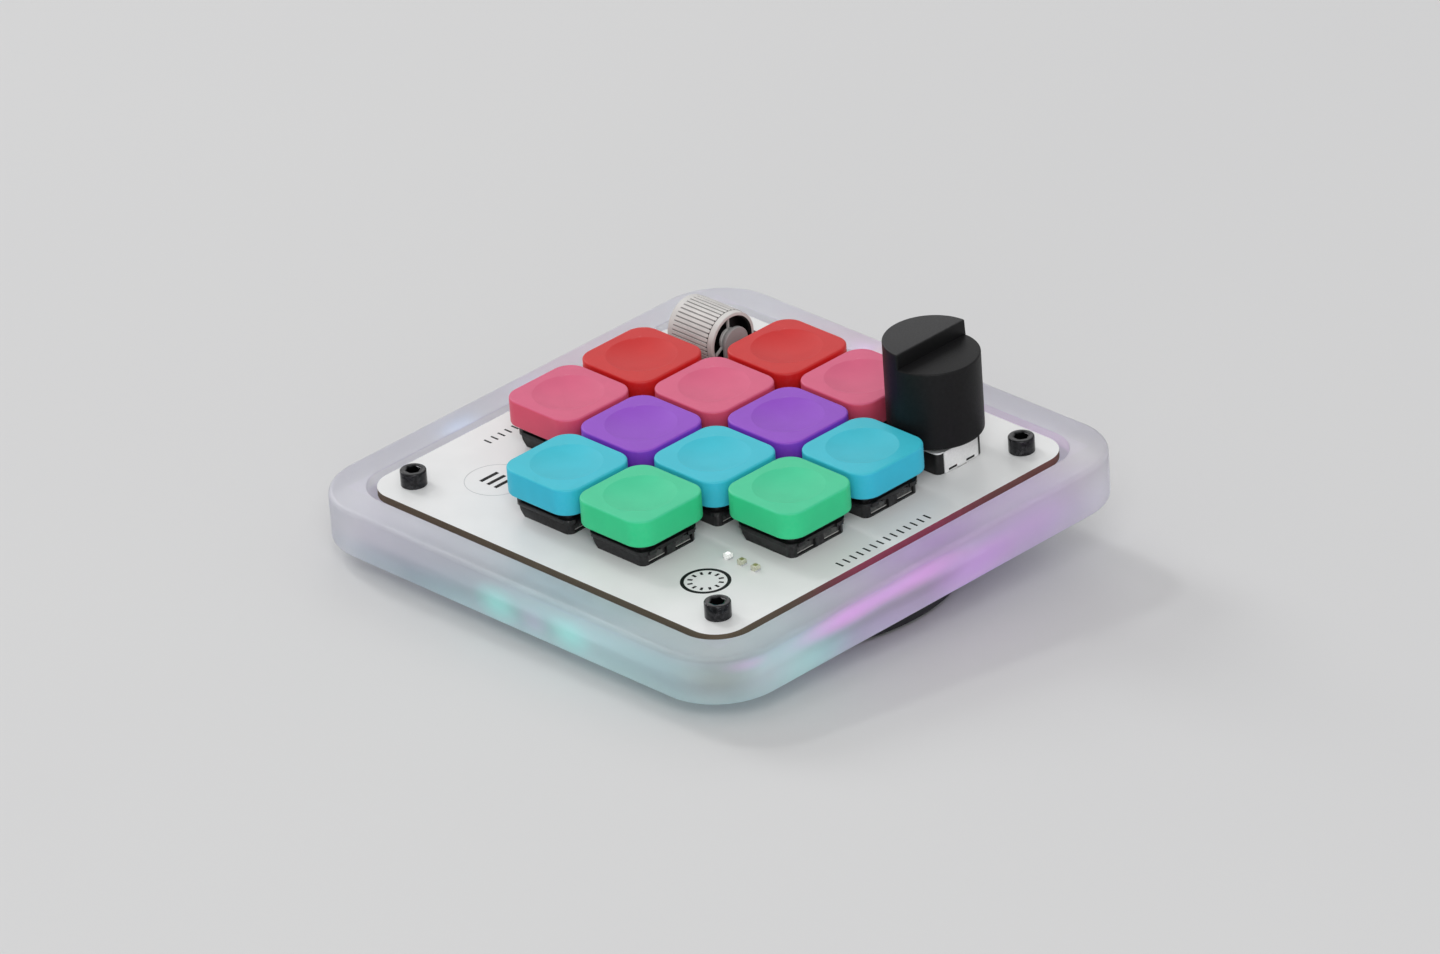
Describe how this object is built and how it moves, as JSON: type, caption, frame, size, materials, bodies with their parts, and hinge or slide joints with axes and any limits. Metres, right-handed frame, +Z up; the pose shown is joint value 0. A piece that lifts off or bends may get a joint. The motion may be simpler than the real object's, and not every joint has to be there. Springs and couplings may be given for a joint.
{
  "type": "macro keypad",
  "caption": "Square desk keypad with low coloured keys, an upright knob and a lying roller on a white board, in a frosted tray on a round wedge foot.",
  "frame": {"origin": "centre of the foot pad's flat underside, on the desk", "axes": "+Z up off the desk, +Y away from the user, +X to the user's right; the tray is tipped 5 degrees about X, with its rear edge high"},
  "size_m": [0.1092, 0.1095, 0.0454],
  "materials": {
    "frosted_tray": "frosted translucent moulded plastic, satin",
    "board_white": "white solder mask over brown laminate, satin",
    "black_steel": "black oxide socket screws, semi-gloss",
    "brass": "turned brass",
    "black_moulding": "black moulding, semi-matte",
    "foot_black": "black moulding, matte",
    "foot_rubber": "soft black rubber",
    "zinc_steel": "bright tinned steel",
    "smoke_window": "smoky clear plastic",
    "bronze_leaf": "phosphor bronze strip",
    "spring_steel": "spring wire",
    "cap_red": "soft matte red",
    "cap_pink": "soft matte pink",
    "cap_purple": "soft matte purple",
    "cap_blue": "soft matte light blue",
    "cap_green": "soft matte green",
    "stem_brown": "brown sliding plastic",
    "knob_black": "soft-touch black",
    "roller_grey": "light warm grey moulding",
    "lamp_white": "lamp body, white and pale yellow",
    "chip_black": "moulded chip package"
  },
  "bodies": {
    "base": {"case_tray": "frosted_tray", "circuit_board": "board_white", "case_screws": "black_steel", "threaded_inserts": "brass", "foot_wedge": "foot_black", "foot_pad": "foot_rubber", "foot_screws": "zinc_steel", "switch_bases": "black_moulding", "switch_windows": "smoke_window", "switch_covers": "black_moulding", "switch_contacts": "bronze_leaf", "switch_springs": "spring_steel", "switch_sockets": "black_moulding", "encoder_base": "black_moulding", "encoder_cover": "zinc_steel", "encoder_bush": "zinc_steel", "encoder_pins": "zinc_steel", "roller_frame": "black_moulding", "roller_pins": "zinc_steel", "indicator_leds": "lamp_white", "underglow_leds": "lamp_white", "controller_chip": "chip_black", "support_chips": "chip_black", "inlet_shell": "zinc_steel", "inlet_tongue": "black_moulding"},
    "key_r1c2": {"keycap_r1c2": "cap_red", "stem_r1c2": "stem_brown"},
    "key_r1c3": {"keycap_r1c3": "cap_pink", "stem_r1c3": "stem_brown"},
    "key_r2c1": {"keycap_r2c1": "cap_red", "stem_r2c1": "stem_brown"},
    "key_r2c2": {"keycap_r2c2": "cap_pink", "stem_r2c2": "stem_brown"},
    "key_r2c3": {"keycap_r2c3": "cap_purple", "stem_r2c3": "stem_brown"},
    "key_r2c4": {"keycap_r2c4": "cap_blue", "stem_r2c4": "stem_brown"},
    "key_r3c1": {"keycap_r3c1": "cap_pink", "stem_r3c1": "stem_brown"},
    "key_r3c2": {"keycap_r3c2": "cap_purple", "stem_r3c2": "stem_brown"},
    "key_r3c3": {"keycap_r3c3": "cap_blue", "stem_r3c3": "stem_brown"},
    "key_r3c4": {"keycap_r3c4": "cap_green", "stem_r3c4": "stem_brown"},
    "key_r4c2": {"keycap_r4c2": "cap_blue", "stem_r4c2": "stem_brown"},
    "key_r4c3": {"keycap_r4c3": "cap_green", "stem_r4c3": "stem_brown"},
    "knob_carrier": {"encoder_plunger": "black_moulding"},
    "knob": {"knob": "knob_black", "knob_shaft": "zinc_steel"},
    "roller_carrier": {"roller_arm": "roller_grey", "roller_axle": "zinc_steel"},
    "roller": {"roller_drum": "roller_grey"}
  },
  "joints": [
    {"name": "key_press_r1c2", "type": "slide", "parent": "base", "child": "key_r1c2", "axis": [0, 0.0872, -0.9962], "range_m": [0, 0.003], "stiffness_N_per_m": 120, "springref_m": -0.003, "deforming": ["switch_springs"]},
    {"name": "key_press_r1c3", "type": "slide", "parent": "base", "child": "key_r1c3", "axis": [0, 0.0872, -0.9962], "range_m": [0, 0.003], "stiffness_N_per_m": 120, "springref_m": -0.003, "deforming": ["switch_springs"]},
    {"name": "key_press_r2c1", "type": "slide", "parent": "base", "child": "key_r2c1", "axis": [0, 0.0872, -0.9962], "range_m": [0, 0.003], "stiffness_N_per_m": 120, "springref_m": -0.003, "deforming": ["switch_springs"]},
    {"name": "key_press_r2c2", "type": "slide", "parent": "base", "child": "key_r2c2", "axis": [0, 0.0872, -0.9962], "range_m": [0, 0.003], "stiffness_N_per_m": 120, "springref_m": -0.003, "deforming": ["switch_springs"]},
    {"name": "key_press_r2c3", "type": "slide", "parent": "base", "child": "key_r2c3", "axis": [0, 0.0872, -0.9962], "range_m": [0, 0.003], "stiffness_N_per_m": 120, "springref_m": -0.003, "deforming": ["switch_springs"]},
    {"name": "key_press_r2c4", "type": "slide", "parent": "base", "child": "key_r2c4", "axis": [0, 0.0872, -0.9962], "range_m": [0, 0.003], "stiffness_N_per_m": 120, "springref_m": -0.003, "deforming": ["switch_springs"]},
    {"name": "key_press_r3c1", "type": "slide", "parent": "base", "child": "key_r3c1", "axis": [0, 0.0872, -0.9962], "range_m": [0, 0.003], "stiffness_N_per_m": 120, "springref_m": -0.003, "deforming": ["switch_springs"]},
    {"name": "key_press_r3c2", "type": "slide", "parent": "base", "child": "key_r3c2", "axis": [0, 0.0872, -0.9962], "range_m": [0, 0.003], "stiffness_N_per_m": 120, "springref_m": -0.003, "deforming": ["switch_springs"]},
    {"name": "key_press_r3c3", "type": "slide", "parent": "base", "child": "key_r3c3", "axis": [0, 0.0872, -0.9962], "range_m": [0, 0.003], "stiffness_N_per_m": 120, "springref_m": -0.003, "deforming": ["switch_springs"]},
    {"name": "key_press_r3c4", "type": "slide", "parent": "base", "child": "key_r3c4", "axis": [0, 0.0872, -0.9962], "range_m": [0, 0.003], "stiffness_N_per_m": 120, "springref_m": -0.003, "deforming": ["switch_springs"]},
    {"name": "key_press_r4c2", "type": "slide", "parent": "base", "child": "key_r4c2", "axis": [0, 0.0872, -0.9962], "range_m": [0, 0.003], "stiffness_N_per_m": 120, "springref_m": -0.003, "deforming": ["switch_springs"]},
    {"name": "key_press_r4c3", "type": "slide", "parent": "base", "child": "key_r4c3", "axis": [0, 0.0872, -0.9962], "range_m": [0, 0.003], "stiffness_N_per_m": 120, "springref_m": -0.003, "deforming": ["switch_springs"]},
    {"name": "knob_push", "type": "slide", "parent": "base", "child": "knob_carrier", "axis": [0, 0.0872, -0.9962], "range_m": [0, 0.0005], "stiffness_N_per_m": 1500, "springref_m": -0.0006},
    {"name": "knob_turn", "type": "hinge", "parent": "knob_carrier", "child": "knob", "pos_m": [0.02857, 0.02719, 0.02533], "axis": [0, -0.0872, 0.9962], "continuous": true},
    {"name": "roller_push", "type": "slide", "parent": "base", "child": "roller_carrier", "axis": [0, 0.0872, -0.9962], "range_m": [0, 0.0004], "stiffness_N_per_m": 1500, "springref_m": -0.0006},
    {"name": "roller_turn", "type": "hinge", "parent": "roller_carrier", "child": "roller", "pos_m": [-0.02977, 0.02706, 0.02683], "axis": [1, 0, 0], "continuous": true}
  ]
}
